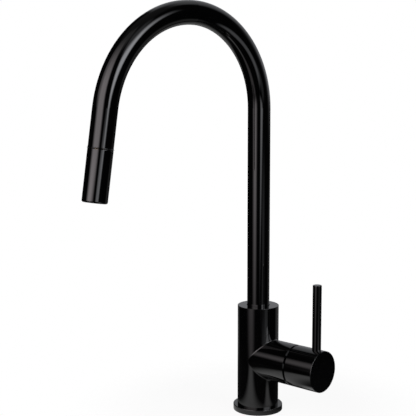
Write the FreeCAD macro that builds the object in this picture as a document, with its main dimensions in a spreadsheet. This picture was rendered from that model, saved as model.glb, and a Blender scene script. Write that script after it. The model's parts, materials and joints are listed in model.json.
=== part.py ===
"""Single-lever pull-down kitchen mixer tap with a swivelling arched spout.

Millimetres, +Z up. The origin is the centre of the base flange's underside, on the worktop. The handle
branch points along +X and the spout reaches towards -Y.
"""
import FreeCAD, Part
import math
import os

import Sketcher

SIZES = [
    # column and base flange
    ("body_radius", 20.75), ("body_top", 108.2), ("body_edge", 0.4), ("saddle_fillet", 1.2),
    ("flange_step", 4.25), ("flange_height", 5.5), ("flange_edge", 0.6),
    ("gasket_margin", 2.0), ("gasket_height", 1.5),
    # waterways
    ("hose_radius", 6.0), ("hose_inner", 3.5), ("hose_play", 0.8), ("port_wall", 0.9),
    ("port_thread", 3.5), ("port_angle", 65.0), ("port_depth", 12.0), ("port_face", 20.0),
    ("channel_radius", 2.5), ("port_rise", 8.0), ("port_drop", 5.0),
    # fixing below the worktop
    ("worktop", 30.0), ("shank_wall", 1.6), ("shank_play", 0.2), ("shank_length", 62.0),
    ("shank_chamfer", 0.8), ("washer_margin", 10.5), ("rubber_height", 3.0), ("steel_height", 2.0),
    ("nut_height", 9.0), ("nut_margin", 11.5), ("jack_margin", 5.3), ("jack_radius", 3.0),
    ("jack_length", 26.0), ("jack_head", 5.0), ("jack_head_height", 4.0),
    # branch and cartridge
    ("branch_height", 54.5), ("branch_radius", 20.3), ("branch_wall", 2.8), ("branch_edge", 1.0),
    ("cavity_inset", 2.25), ("cavity_depth", 25.1), ("ring_length", 4.7), ("ring_flank", 0.7),
    ("ring_recess", 0.4), ("ring_shoulder", 1.5), ("ring_crown", 1.0), ("ring_nose", 1.7),
    ("cover_play", 0.5), ("seal_height", 1.5), ("seal_wall", 1.7), ("seal_margin", 0.6), ("base_height", 5.5),
    ("disc_height", 2.5), ("disc_margin", 2.8), ("shuttle_margin", 2.8), ("housing_wall", 2.3), ("coupler_height", 3.1),
    ("pivot_depth", 17.5), ("journal_wall", 2.1), ("journal_length", 3.0), ("pin_radius", 1.5),
    ("stem_radius", 3.6), ("stem_neck", 1.5), ("stem_ball", 2.0), ("ball_lift", 0.45),
    ("slot_down", 4.8), ("slot_up", 1.2),
    # handle
    ("groove_gap", 1.4), ("hub_length", 31.7), ("hub_rim", 1.0), ("hub_hollow", 6.9), ("hub_edge", 0.5),
    ("rim_edge", 0.3), ("notch_width", 8.0), ("notch_length", 3.5), ("stem_relief", 1.0),
    ("stem_grip", 10.4), ("lever_inset", 8.0), ("lever_radius", 4.35),
    ("lever_rise", 84.4), ("lever_edge", 0.8), ("lever_depth", 8.3), ("grub_offset", 5.4),
    ("grub_radius", 2.5), ("grub_length", 12.0), ("key_reach", 1.4), ("key_depth", 3.0),
    ("plug_inset", 0.3), ("plug_gap", 0.2),
    # spout
    ("tube_radius", 11.2), ("tube_wall", 1.2), ("riser_top", 306.2), ("rear_bend", 89.0),
    ("front_bend", 101.4), ("end_tilt", 9.14), ("nose_run", 34.7), ("spout_turn", -4.3),
    ("socket_play", 0.5), ("socket_depth", 36.2), ("thrust_height", 2.0), ("foot_play", 2.0),
    ("foot_inset", 4.2), ("spigot_length", 12.0), ("ring_depth", 1.2), ("ring_height", 6.0),
    ("ring_inset", 1.0), ("ring_rise", 2.0), ("seal_width", 2.4), ("seal_rise", 1.5), ("slot_height", 5.4),
    ("slot_rise", 13.0), ("swivel_reach", 60.0), ("stop_tip", 2.0), ("stop_thread", 2.5),
    ("stop_inset", 1.0), ("stop_step", 1.0),
    # dock and hose
    ("dock_flare", 0.5), ("dock_rim", 1.0), ("dock_edge", 0.45), ("dock_wall", 1.3), ("dock_depth", 5.0),
    ("dock_spigot", 10.0), ("dock_play", 1.2), ("magnet_height", 4.0), ("hose_tail", 74.0),
    ("tail_nut_wall", 1.4), ("tail_nut_height", 14.0), ("tail_nut_lap", 6.0), ("hose_entry", 6.0),
    # spray head
    ("head_step", 0.1), ("head_length", 46.4), ("head_wall", 1.8), ("head_top_edge", 0.7),
    ("head_bottom_edge", 1.6), ("head_roof", 2.5), ("connector_length", 14.0), ("connector_lip", 0.5),
    ("washer_height", 1.2), ("core_gap", 1.5), ("core_wall", 1.5), ("core_flange", 2.0),
    ("valve_inset", 0.2), ("valve_length", 6.0), ("valve_nose", 3.0), ("valve_throat", 3.0),
    ("valve_tip", 2.0), ("valve_seat", 3.0), ("aerator_recess", 0.8), ("aerator_height", 9.0),
    ("aerator_wall", 1.4), ("aerator_seal", 1.5), ("plate_recess", 0.6), ("plate_height", 2.4),
    ("screen_gap", 0.1), ("screen_height", 0.4), ("jet_radius", 0.55), ("outer_circle", 5.6),
    ("inner_circle", 2.8),
    # clearances, and how far cuts run past a face
    ("running_gap", 0.06), ("free_gap", 0.3), ("slip_gap", 0.05), ("ring_fit", 0.02), ("pin_fit", 0.01),
    ("overrun", 1.0),
]
FORMULAS = [
    ("hose_bore", "=hose_radius + hose_play"),
    ("port_circle", "=hose_bore + port_wall + port_thread"),
    ("seal_outer", "=channel_radius + seal_wall"),
    ("seal_reach", "=cartridge_radius - seal_outer - seal_margin"),
    ("side_port_y", "=min(port_circle * sin(port_angle); sqrt(seal_reach ^ 2 - port_drop ^ 2))"),
    ("side_port_x", "=sqrt(port_circle ^ 2 - side_port_y ^ 2)"),
    ("shank_bore", "=port_circle + port_thread + shank_play"),
    ("shank_radius", "=shank_bore + shank_wall"),
    ("flange_radius", "=body_radius + flange_step"),
    ("washer_outer", "=shank_radius + washer_margin"),
    ("jack_circle", "=shank_radius + jack_margin"),
    ("gasket_inner", "=shank_radius + gasket_margin"),
    ("gasket_outer", "=flange_radius - gasket_margin"),
    ("cavity_radius", "=branch_radius - branch_wall"),
    ("cavity_floor", "=body_radius - cavity_inset"),
    ("cartridge_radius", "=cavity_radius - 2 * slip_gap"),
    ("nut_seat", "=cavity_floor + cavity_depth"),
    ("nut_thread", "=cavity_radius + ring_flank"),
    ("branch_end", "=nut_seat + ring_length"),
    ("disc_radius", "=cartridge_radius - disc_margin"),
    ("shuttle_radius", "=disc_radius - shuttle_margin"),
    ("housing_bore", "=cartridge_radius - housing_wall"),
    ("carrier_radius", "=housing_bore - free_gap - 2 * slip_gap"),
    ("journal_radius", "=stem_radius + slot_down + journal_wall"),
    ("cover_mouth", "=journal_radius + cover_play"),
    ("pivot_at", "=cavity_floor + pivot_depth"),
    ("moving_face", "=cavity_floor + base_height + disc_height + slip_gap"),
    ("coupler_face", "=moving_face + disc_height"),
    ("ball_arm", "=pivot_at - coupler_face - stem_ball - ball_lift"),
    ("carrier_face", "=coupler_face + coupler_height + free_gap"),
    ("journal_end", "=nut_seat + journal_length"),
    ("hub_start", "=branch_end + groove_gap"),
    ("hub_floor", "=hub_start + hub_hollow"),
    ("hub_face", "=hub_start + hub_length"),
    ("stem_tip", "=hub_floor + stem_grip"),
    ("grub_at", "=hub_floor + grub_offset"),
    ("lever_at", "=hub_face - lever_inset"),
    ("lever_root", "=branch_height + branch_radius - lever_depth"),
    ("lever_top", "=branch_height + lever_rise"),
    ("grub_top", "=0 - stem_radius - slip_gap"),
    ("grub_end", "=grub_top - grub_length"),
    ("tube_bore", "=tube_radius - tube_wall"),
    ("socket_radius", "=tube_radius + socket_play"),
    ("socket_floor", "=body_top - socket_depth"),
    ("foot_bore", "=hose_radius + foot_play"),
    ("foot_base", "=socket_floor + thrust_height + slip_gap"),
    ("foot_top", "=body_top - foot_inset"),
    ("stop_height", "=foot_base + slot_rise"),
    ("ring_root", "=tube_radius - ring_depth"),
    ("slot_angle", "=2 * swivel_reach + 2 * asin((stop_tip + free_gap) / tube_radius) / 1deg"),
    ("tilt_sine", "=sin(end_tilt)"),
    ("tilt_cosine", "=cos(end_tilt)"),
    ("dock_reach", "=rear_bend + front_bend * tilt_cosine + nose_run * tilt_sine"),
    ("dock_height", "=riser_top + rear_bend - front_bend * (1 - tilt_sine) - nose_run * tilt_cosine"),
    ("dock_x", "=dock_reach * sin(spout_turn)"),
    ("dock_y", "=0 - dock_reach * cos(spout_turn)"),
    ("dock_mouth", "=tube_bore - dock_wall"),
    ("dock_bore", "=hose_radius + dock_play"),
    ("tail_nut_radius", "=hose_radius + tail_nut_wall"),
    ("head_radius", "=tube_radius + head_step"),
    ("head_bore", "=head_radius - head_wall"),
    ("neck_radius", "=dock_mouth - free_gap"),
    ("core_bore", "=head_bore - core_gap - core_wall"),
    ("core_top", "=0 - connector_length - washer_height"),
    ("outlet_face", "=aerator_recess - head_length"),
    ("core_low", "=outlet_face + aerator_height"),
    ("aerator_bore", "=head_bore - slip_gap - aerator_wall"),
]

CLOSE = 1e-3
doc = FreeCAD.newDocument("kitchen_mixer")
sheet = doc.addObject("Spreadsheet::Sheet", "sizes")
parts = {}


class Dim:
    """A length with its value and the sheet formula that drives it."""

    def __init__(self, value, formula):
        self.value = value
        self.formula = formula

    def _join(self, sign, other, swap=False):
        other = dim(other)
        first, second = (other, self) if swap else (self, other)
        results = {"+": first.value + second.value, "-": first.value - second.value,
                   "*": first.value * second.value}
        return Dim(results[sign], f"({first.formula} {sign} {second.formula})")

    def __add__(self, other):
        return self._join("+", other)

    def __radd__(self, other):
        return self._join("+", other, swap=True)

    def __sub__(self, other):
        return self._join("-", other)

    def __rsub__(self, other):
        return self._join("-", other, swap=True)

    def __mul__(self, other):
        return self._join("*", other)

    def __rmul__(self, other):
        return self._join("*", other, swap=True)

    def __neg__(self):
        return self._join("-", 0, swap=True)


class Sizes:
    """Gives each cell of the sheet as a Dim, by its alias."""

    def __getattr__(self, alias):
        return Dim(float(sheet.get(alias)), f"sizes.{alias}")


def dim(length):
    """Turn a plain number into a Dim; a Dim stays as it is."""
    return length if isinstance(length, Dim) else Dim(float(length), f"{float(length)}")


def fill_sheet():
    """Write every driving dimension and every derived one into its own named cell."""
    for row, (alias, content) in enumerate(SIZES + FORMULAS, start=1):
        sheet.set(f"A{row}", alias)
        sheet.set(f"B{row}", str(content))
        sheet.setAlias(f"B{row}", alias)
    doc.recompute()


def bind(obj, prop, length):
    """Drive one property of an object from the sheet."""
    length = dim(length)
    obj.setExpression(prop, length.formula)


def place(obj, x=0, y=0, z=0, yaw=0, pitch=0, roll=0):
    """Bind an object's Placement: turned about X, then Y, then Z, and moved."""
    where = "; ".join(dim(value).formula for value in (x, y, z))
    turn = "; ".join(dim(value).formula for value in (yaw, pitch, roll))
    obj.setExpression("Placement", f"create(<<placement>>; create(<<vector>>; {where}); "
                                   f"create(<<rotation>>; {turn}))")


def new_body(name):
    """Start the PartDesign body of one sub-part."""
    body = doc.addObject("PartDesign::Body", name)
    body.Label = name
    parts[name] = body
    return body


def new_sketch(body, name, plane="XZ_Plane", offset=None):
    """Attach a sketch to one of the body's own origin planes, moved along its normal."""
    sketch = body.newObject("Sketcher::SketchObject", f"{body.Name}_{name}")
    support = [item for item in body.Origin.OriginFeatures if item.Role == plane][0]
    sketch.AttachmentSupport = [(support, "")]
    sketch.MapMode = "FlatFace"
    if offset is not None:
        bind(sketch, "AttachmentOffset.Base.z", offset)
    return sketch


def pin_point(sketch, geo, vertex, x, y):
    """Hold one vertex of a sketch at a driven place."""
    for kind, length, axis in (("DistanceX", dim(x), -2), ("DistanceY", dim(y), -1)):
        if abs(length.value) < 1e-9:
            sketch.addConstraint(Sketcher.Constraint("PointOnObject", geo, vertex, axis))
            continue
        number = sketch.addConstraint(Sketcher.Constraint(kind, -1, 1, geo, vertex, length.value))
        sketch.setExpression(f"Constraints[{number}]", length.formula)


def add_outline(sketch, points):
    """Draw a closed outline of straight lines through driven corners."""
    corners = [FreeCAD.Vector(dim(x).value, dim(y).value, 0) for x, y in points]
    start = sketch.GeometryCount
    for number, corner in enumerate(corners):
        sketch.addGeometry(Part.LineSegment(corner, corners[(number + 1) % len(corners)]), False)
    for number, (x, y) in enumerate(points):
        following = start + (number + 1) % len(points)
        sketch.addConstraint(Sketcher.Constraint("Coincident", start + number, 2, following, 1))
        pin_point(sketch, start + number, 1, x, y)


def add_circle(sketch, x, y, radius):
    """Draw a circle with a driven centre and radius."""
    centre = FreeCAD.Vector(dim(x).value, dim(y).value, 0)
    geo = sketch.addGeometry(Part.Circle(centre, FreeCAD.Vector(0, 0, 1), dim(radius).value), False)
    pin_point(sketch, geo, 3, x, y)
    number = sketch.addConstraint(Sketcher.Constraint("Radius", geo, dim(radius).value))
    sketch.setExpression(f"Constraints[{number}]", dim(radius).formula)


def add_hexagon(sketch, corner):
    """Draw a hexagon about the sketch's own centre, by its distance to a corner."""
    steps = [math.radians(60 * number) for number in range(6)]
    add_outline(sketch, [(corner * math.cos(step), corner * math.sin(step)) for step in steps])


def turn(body, name, points, plane="XZ_Plane", cut=False, angle=360):
    """Revolve an outline of (radius, height) corners about the body's Z axis."""
    sketch = new_sketch(body, name, plane)
    add_outline(sketch, points)
    kind = "PartDesign::Groove" if cut else "PartDesign::Revolution"
    feature = body.newObject(kind, f"{body.Name}_{name}_turn")
    feature.Profile = sketch
    feature.ReferenceAxis = (sketch, ["V_Axis"])
    feature.Midplane = angle != 360
    if angle == 360:
        feature.Angle = 360
    else:
        bind(feature, "Angle", angle)
    return settle(body, feature, cut)


def extrude(body, name, draw, length, plane="XY_Plane", offset=None, cut=False, reverse=False):
    """Pad or pocket the closed shapes that draw(sketch) makes."""
    sketch = new_sketch(body, name, plane, offset)
    draw(sketch)
    feature = body.newObject("PartDesign::Pocket" if cut else "PartDesign::Pad", f"{body.Name}_{name}_run")
    feature.Profile = sketch
    feature.Reversed = reverse
    bind(feature, "Length", length)
    return settle(body, feature, cut)


def settle(body, feature, cut):
    """Recompute, and stop if the feature failed or a cut took nothing away."""
    before = feature.BaseFeature.Shape.Volume if feature.BaseFeature else 0.0
    doc.recompute()
    grown = feature.Shape.Volume - before
    if (cut and grown > -1e-6) or (not cut and grown < 1e-6):
        raise RuntimeError(f"{feature.Name} changed the volume by {grown:.4f}")
    body.Tip = feature
    return feature


def soften(body, name, size, rings, chamfer=False):
    """Round or chamfer the circular edges at the given (radius, height) places."""
    places = [(dim(radius).value, dim(height).value) for radius, height in rings]

    def on_ring(edge):
        if not isinstance(edge.Curve, Part.Circle):
            return False
        found = (edge.Curve.Radius, edge.Curve.Center.z)
        return any(abs(found[0] - r) < CLOSE and abs(found[1] - z) < CLOSE for r, z in places)

    dress_edges(body, "Chamfer" if chamfer else "Fillet", name, size, on_ring)


def dress_edges(body, kind, name, size, wanted):
    """Fillet or chamfer every edge of the body that wanted(edge) picks."""
    base = body.Tip
    chosen = [f"Edge{number}" for number, edge in enumerate(base.Shape.Edges, start=1) if wanted(edge)]
    if not chosen:
        raise RuntimeError(f"{body.Name}_{name} found no edge")
    feature = body.newObject(f"PartDesign::{kind}", f"{body.Name}_{name}")
    feature.Base = (base, chosen)
    bind(feature, "Radius" if kind == "Fillet" else "Size", size)
    doc.recompute()
    body.Tip = feature


def ring(name, inner, outer, low, high, **where):
    """A plain ring or disc as a turned body of its own."""
    body = new_body(name)
    turn(body, "section", [(inner, low), (outer, low), (outer, high), (inner, high)])
    place(body, **where)
    return body


def washers(name, places, inner, outer, height, **where):
    """Several equal rings, each at its own (x, y, z), as one sub-part."""
    rings = []
    for number, (x, y, z) in enumerate(places, start=1):
        solids = []
        for role, radius in (("rim", outer), ("hole", inner)):
            solid = doc.addObject("Part::Cylinder", f"{name}_{role}_{number}")
            bind(solid, "Radius", radius)
            bind(solid, "Height", height)
            place(solid, x, y, z)
            solids.append(solid)
        cut = doc.addObject("Part::Cut", f"{name}_{number}")
        cut.Base, cut.Tool = solids
        rings.append(cut)
    group(name, rings, **where)


def group(name, shapes, **where):
    """Join loose shapes into one sub-part that keeps its separate pieces."""
    fuse = doc.addObject("Part::MultiFuse", name)
    fuse.Shapes = shapes
    fuse.Label = name
    place(fuse, **where)
    parts[name] = fuse


fill_sheet()
s = Sizes()


# ---------------------------------------------------------------- column and base
def port_places():
    """Centres of the hot, mixed and cold drillings in plan, as (x, y)."""
    return [(s.side_port_x, s.side_port_y), (s.port_circle, dim(0)), (s.side_port_x, -s.side_port_y)]


def port_levels():
    """Heights above the cartridge axis of the hot, mixed and cold ports."""
    return [-s.port_drop, s.port_rise, -s.port_drop]


def build_flange():
    """The base flange and the gasket let into its underside."""
    body = new_body("base_flange")
    inner = s.shank_radius + s.free_gap
    turn(body, "section", [(inner, 0), (s.gasket_inner, 0), (s.gasket_inner, s.gasket_height),
                           (s.gasket_outer, s.gasket_height), (s.gasket_outer, 0),
                           (s.flange_radius, 0), (s.flange_radius, s.flange_height),
                           (inner, s.flange_height)])
    soften(body, "rim", s.flange_edge, [(s.flange_radius, s.flange_height)])
    ring("base_gasket", s.gasket_inner + s.slip_gap, s.gasket_outer - s.slip_gap, 0, s.gasket_height)


def build_body():
    """The column and its side branch, bored for the hose, the spout, the cartridge and the water."""
    body = new_body("mixer_body")
    turn(body, "column", [(0, s.flange_height), (s.body_radius, s.flange_height),
                          (s.body_radius, s.body_top), (0, s.body_top)])

    def branch_circle(radius):
        return lambda sketch: add_circle(sketch, 0, s.branch_height, radius)

    extrude(body, "branch", branch_circle(s.branch_radius), s.branch_end, "YZ_Plane")
    round_saddle(body)
    bevel_branch(body)
    soften(body, "top_edge", s.body_edge, [(s.body_radius, s.body_top)])
    bores = [("hose_bore", s.hose_bore, s.body_top, s.body_top - s.flange_height),
             ("socket", s.socket_radius, s.body_top, s.body_top - s.socket_floor),
             ("shank_thread", s.shank_radius + s.slip_gap, s.port_face, s.port_face - s.flange_height)]
    for name, radius, top, depth in bores:
        extrude(body, name, lambda sketch: add_circle(sketch, 0, 0, radius), depth, offset=top, cut=True)
    extrude(body, "cavity", branch_circle(s.cavity_radius), s.branch_end - s.cavity_floor, "YZ_Plane",
            s.branch_end, cut=True)
    extrude(body, "nut_thread", branch_circle(s.nut_thread + s.slip_gap), s.branch_end - s.nut_seat,
            "YZ_Plane", s.branch_end, cut=True)
    drill_ports(body)
    thread = s.stop_thread + s.slip_gap
    extrude(body, "stop_hole", lambda sketch: add_circle(sketch, 0, s.stop_height, thread), s.body_radius,
            "XZ_Plane", cut=True)


def drill_ports(body):
    """Cut each threaded inlet, the riser above it and its crossing into the cartridge cavity."""
    for number, ((x, y), level) in enumerate(zip(port_places(), port_levels()), start=1):
        height = s.branch_height + level
        extrude(body, f"inlet_{number}", lambda sketch: add_circle(sketch, x, y, s.port_thread),
                s.port_depth, offset=s.port_face, cut=True, reverse=True)
        extrude(body, f"riser_{number}", lambda sketch: add_circle(sketch, x, y, s.channel_radius),
                height - s.port_face, offset=s.port_face, cut=True, reverse=True)
        extrude(body, f"crossing_{number}", lambda sketch: add_circle(sketch, y, height, s.channel_radius),
                s.cavity_floor - x, "YZ_Plane", s.cavity_floor, cut=True)


def round_saddle(body):
    """Soften the crease where the branch leaves the column."""
    def in_crease(edge):
        middle = edge.valueAt((edge.FirstParameter + edge.LastParameter) / 2)
        from_column = math.hypot(middle.x, middle.y) - s.body_radius.value
        from_branch = math.hypot(middle.y, middle.z - s.branch_height.value) - s.branch_radius.value
        return abs(from_column) < CLOSE and abs(from_branch) < CLOSE

    dress_edges(body, "Fillet", "saddle", s.saddle_fillet, in_crease)


def bevel_branch(body):
    """Chamfer the outer edge of the branch's open end."""
    def at_end(edge):
        return isinstance(edge.Curve, Part.Circle) and abs(edge.Curve.Center.x - s.branch_end.value) < CLOSE

    dress_edges(body, "Chamfer", "branch_edge", s.branch_edge, at_end)


def build_fixing():
    """The threaded shank and the clamp below the worktop."""
    shank = new_body("threaded_shank")
    top = s.port_face - s.slip_gap
    turn(shank, "section", [(s.shank_bore, -s.shank_length), (s.shank_radius, -s.shank_length),
                            (s.shank_radius, top), (s.shank_bore, top)])
    soften(shank, "end", s.shank_chamfer, [(s.shank_radius, -s.shank_length)], chamfer=True)
    loose = s.shank_radius + s.free_gap
    steel_top = -s.worktop - s.rubber_height
    nut_top = steel_top - s.steel_height
    ring("deck_washer", loose, s.washer_outer, steel_top, -s.worktop)
    ring("backing_washer", loose, s.washer_outer, nut_top, steel_top)
    nut = new_body("mounting_nut")
    corner = (s.shank_radius + s.nut_margin) * (1 / math.cos(math.radians(30)))

    def outline(sketch):
        add_hexagon(sketch, corner)
        add_circle(sketch, 0, 0, s.shank_radius + s.slip_gap)
        for side in (1, -1):
            add_circle(sketch, side * s.jack_circle, 0, s.jack_radius + s.slip_gap)

    extrude(nut, "hexagon", outline, s.nut_height, offset=nut_top - s.nut_height)
    build_jack_screws(nut_top)


def build_jack_screws(tip):
    """The two screws that push the steel washer up against the worktop."""
    screws = []
    for side, name in ((1, "right"), (-1, "left")):
        shaft = doc.addObject("Part::Cylinder", f"jack_shaft_{name}")
        bind(shaft, "Radius", s.jack_radius)
        bind(shaft, "Height", s.jack_length)
        place(shaft, side * s.jack_circle, 0, tip - s.jack_length)
        head = doc.addObject("Part::Prism", f"jack_head_{name}")
        head.Polygon = 6
        bind(head, "Circumradius", s.jack_head)
        bind(head, "Height", s.jack_head_height)
        place(head, side * s.jack_circle, 0, tip - s.jack_length - s.jack_head_height)
        screws += [shaft, head]
    group("jack_screws", screws)


# ---------------------------------------------------------------- ceramic cartridge
def along_branch(start=0):
    """Placement that lays a part's Z axis along the branch, from start."""
    return {"x": dim(start), "z": s.branch_height, "pitch": 90}


def port_circles(radius):
    """A drawing of the three ports, in the frame of a part laid along the branch."""
    def draw(sketch):
        for (_, y), level in zip(port_places(), port_levels()):
            add_circle(sketch, -level, y, radius)

    return draw


def build_cartridge():
    """Everything of the cartridge that stays still in the body."""
    base = new_body("cartridge_base")
    turn(base, "disc", [(0, 0), (s.cartridge_radius, 0), (s.cartridge_radius, s.base_height),
                        (0, s.base_height)])
    extrude(base, "ports", port_circles(s.channel_radius), s.base_height, cut=True, reverse=True)
    extrude(base, "seal_seats", port_circles(s.seal_outer + s.slip_gap), s.seal_height, cut=True,
            reverse=True)
    place(base, **along_branch(s.cavity_floor))
    rings = [(-level, y, 0) for (_, y), level in zip(port_places(), port_levels())]
    washers("port_seals", rings, s.channel_radius, s.seal_outer, s.seal_height,
            **along_branch(s.cavity_floor))
    start = s.cavity_floor + s.base_height
    fixed = new_body("fixed_disc")
    turn(fixed, "disc", [(0, 0), (s.disc_radius, 0), (s.disc_radius, s.disc_height), (0, s.disc_height)])
    extrude(fixed, "ports", port_circles(s.channel_radius), s.disc_height, cut=True, reverse=True)
    place(fixed, **along_branch(start))
    housing = new_body("cartridge_housing")
    mouth = s.journal_radius + s.running_gap
    shoulder = s.nut_seat - s.housing_wall
    turn(housing, "cup", [(s.housing_bore, start), (s.cartridge_radius, start),
                          (s.cartridge_radius, s.nut_seat), (mouth, s.nut_seat), (mouth, shoulder),
                          (s.housing_bore, shoulder)])
    place(housing, **along_branch())
    nut = new_body("cartridge_nut")
    edge = s.branch_end - s.ring_recess
    nose = s.branch_end + s.ring_nose
    turn(nut, "ring", [(s.cover_mouth, s.nut_seat), (s.nut_thread, s.nut_seat), (s.nut_thread, edge),
                       (s.nut_thread - s.ring_shoulder, edge), (s.cover_mouth + s.ring_crown, nose),
                       (s.cover_mouth, nose)])
    place(nut, **along_branch())


def build_carrier():
    """The turning carrier that holds the stem's pivot, and the discs that it steers."""
    carrier = new_body("cartridge_carrier")
    shoulder = s.nut_seat - s.housing_wall - s.free_gap
    turn(carrier, "drum", [(0, s.carrier_face), (s.carrier_radius, s.carrier_face),
                           (s.carrier_radius, shoulder), (s.journal_radius, shoulder),
                           (s.journal_radius, s.journal_end), (0, s.journal_end)])

    def slot(sketch):
        side = s.stem_radius + s.free_gap
        down = s.stem_radius + s.slot_down
        up = -s.stem_radius - s.slot_up
        add_outline(sketch, [(up, -side), (down, -side), (down, side), (up, side)])

    extrude(carrier, "slot", slot, s.journal_end - s.carrier_face, offset=s.carrier_face, cut=True,
            reverse=True)
    for side, reverse in (("front", False), ("back", True)):
        extrude(carrier, f"pin_hole_{side}",
                lambda sketch: add_circle(sketch, 0, s.pivot_at, s.pin_radius + s.pin_fit),
                s.carrier_radius, "XZ_Plane", cut=True, reverse=reverse)
    place(carrier, **along_branch())
    pin = new_body("stem_pivot_pin")
    half = s.journal_radius
    turn(pin, "rod", [(0, -half), (s.pin_radius, -half), (s.pin_radius, half), (0, half)])
    place(pin, s.pivot_at, 0, s.branch_height, roll=90)
    ring("moving_disc", 0, s.shuttle_radius, 0, s.disc_height, **along_branch(s.moving_face))
    ring("disc_coupler", s.stem_ball + s.free_gap + s.slip_gap, s.shuttle_radius, 0, s.coupler_height,
         **along_branch(s.coupler_face))


def build_stem():
    """The stem that the handle drives, with the ball end that shifts the moving disc."""
    stem = new_body("cartridge_stem")
    ball = -s.ball_arm
    tip = s.stem_tip - s.pivot_at
    turn(stem, "rod", [(0, ball), (s.stem_neck, ball), (s.stem_neck, ball + s.stem_ball),
                       (s.stem_radius, -s.pin_radius), (s.stem_radius, tip), (0, tip)])
    add_ball(stem, ball, s.stem_ball)
    for side, reverse in (("front", False), ("back", True)):
        extrude(stem, f"hole_{side}", lambda sketch: add_circle(sketch, 0, 0, s.pin_radius + s.running_gap),
                s.stem_radius, "XZ_Plane", cut=True, reverse=reverse)
    place(stem, **along_branch(s.pivot_at))


def add_ball(body, height, radius):
    """Add a ball on the body's Z axis."""
    sketch = new_sketch(body, "ball")
    low, high = height.value - radius.value, height.value + radius.value
    ends = [FreeCAD.Vector(0, low, 0), FreeCAD.Vector(0, high, 0)]
    sketch.addGeometry(Part.Arc(ends[0], FreeCAD.Vector(radius.value, height.value, 0), ends[1]), False)
    sketch.addGeometry(Part.LineSegment(ends[1], ends[0]), False)
    sketch.addConstraint(Sketcher.Constraint("Coincident", 0, 2, 1, 1))
    sketch.addConstraint(Sketcher.Constraint("Coincident", 1, 2, 0, 1))
    pin_point(sketch, 0, 3, 0, height)
    pin_point(sketch, 1, 1, 0, height + radius)
    sketch.addConstraint(Sketcher.Constraint("PointOnObject", 1, 2, -2))
    feature = body.newObject("PartDesign::Revolution", f"{body.Name}_ball_turn")
    feature.Profile = sketch
    feature.ReferenceAxis = (sketch, ["V_Axis"])
    feature.Angle = 360
    settle(body, feature, False)


# ---------------------------------------------------------------- handle
def build_handle():
    """The cup-shaped hub, its upright lever pin and the screw that clamps it to the stem."""
    hub = new_body("handle_hub")
    inner = s.branch_radius - s.hub_rim
    turn(hub, "cup", [(0, s.hub_floor), (inner, s.hub_floor), (inner, s.hub_start),
                      (s.branch_radius, s.hub_start), (s.branch_radius, s.hub_face), (0, s.hub_face)])
    soften(hub, "face_edge", s.hub_edge, [(s.branch_radius, s.hub_face)])
    soften(hub, "rim_edge", s.rim_edge, [(s.branch_radius, s.hub_start)])
    extrude(hub, "stem_hole", lambda sketch: add_circle(sketch, 0, 0, s.stem_radius + s.slip_gap),
            s.stem_tip + s.stem_relief - s.hub_floor, offset=s.hub_floor, cut=True, reverse=True)
    extrude(hub, "lever_hole", lambda sketch: add_circle(sketch, 0, s.lever_at, s.lever_radius + s.slip_gap),
            s.lever_depth + s.overrun, "YZ_Plane", -s.branch_radius - s.overrun, cut=True, reverse=True)
    extrude(hub, "grub_hole", lambda sketch: add_circle(sketch, 0, s.grub_at, s.grub_radius + s.slip_gap),
            s.branch_radius, "YZ_Plane", s.branch_radius, cut=True)

    def notch(sketch):
        half = s.notch_width * 0.5
        start = s.hub_start - s.overrun
        end = s.hub_start + s.notch_length
        add_outline(sketch, [(-half, start), (half, start), (half, end), (-half, end)])

    extrude(hub, "rim_notch", notch, s.hub_rim + 2 * s.overrun, "YZ_Plane", s.branch_radius + s.overrun,
            cut=True)
    place(hub, **along_branch())
    pin = new_body("lever_pin")
    turn(pin, "rod", [(0, s.lever_root), (s.lever_radius, s.lever_root), (s.lever_radius, s.lever_top),
                      (0, s.lever_top)])
    soften(pin, "tip", s.lever_edge, [(s.lever_radius, s.lever_top)])
    place(pin, s.lever_at)
    build_grub_screw()


def build_grub_screw():
    """The hexagon-key screw under the hub and the plug that hides it."""
    grub = new_body("hub_grub_screw")
    turn(grub, "rod", [(0, s.grub_end), (s.grub_radius, s.grub_end), (s.grub_radius, s.grub_top),
                       (0, s.grub_top)])
    extrude(grub, "key", lambda sketch: add_hexagon(sketch, s.key_reach), s.key_depth, offset=s.grub_end,
            cut=True, reverse=True)
    place(grub, s.grub_at, 0, s.branch_height)
    ring("hub_plug", 0, s.grub_radius, s.plug_inset - s.branch_radius, s.grub_end - s.plug_gap,
         x=s.grub_at, z=s.branch_height)


# ---------------------------------------------------------------- spout
def build_spout():
    """The arched tube, its swivelling foot and the screw that stops it."""
    tube = new_body("spout_tube")
    sweep(tube, s.tube_radius, s.tube_bore, s.foot_top, s.nose_run - s.dock_rim)
    place(tube, yaw=s.spout_turn)
    build_foot()
    ring("thrust_washer", s.foot_bore, s.socket_radius - s.slip_gap, s.socket_floor,
         s.socket_floor + s.thrust_height)
    screw = new_body("stop_screw")
    inner = s.ring_root + s.free_gap
    step = s.socket_radius + s.stop_step
    outer = s.body_radius - s.stop_inset
    turn(screw, "rod", [(0, inner), (s.stop_tip, inner), (s.stop_tip, step), (s.stop_thread, step),
                        (s.stop_thread, outer), (0, outer)])
    place(screw, 0, 0, s.stop_height, roll=-90)


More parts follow.
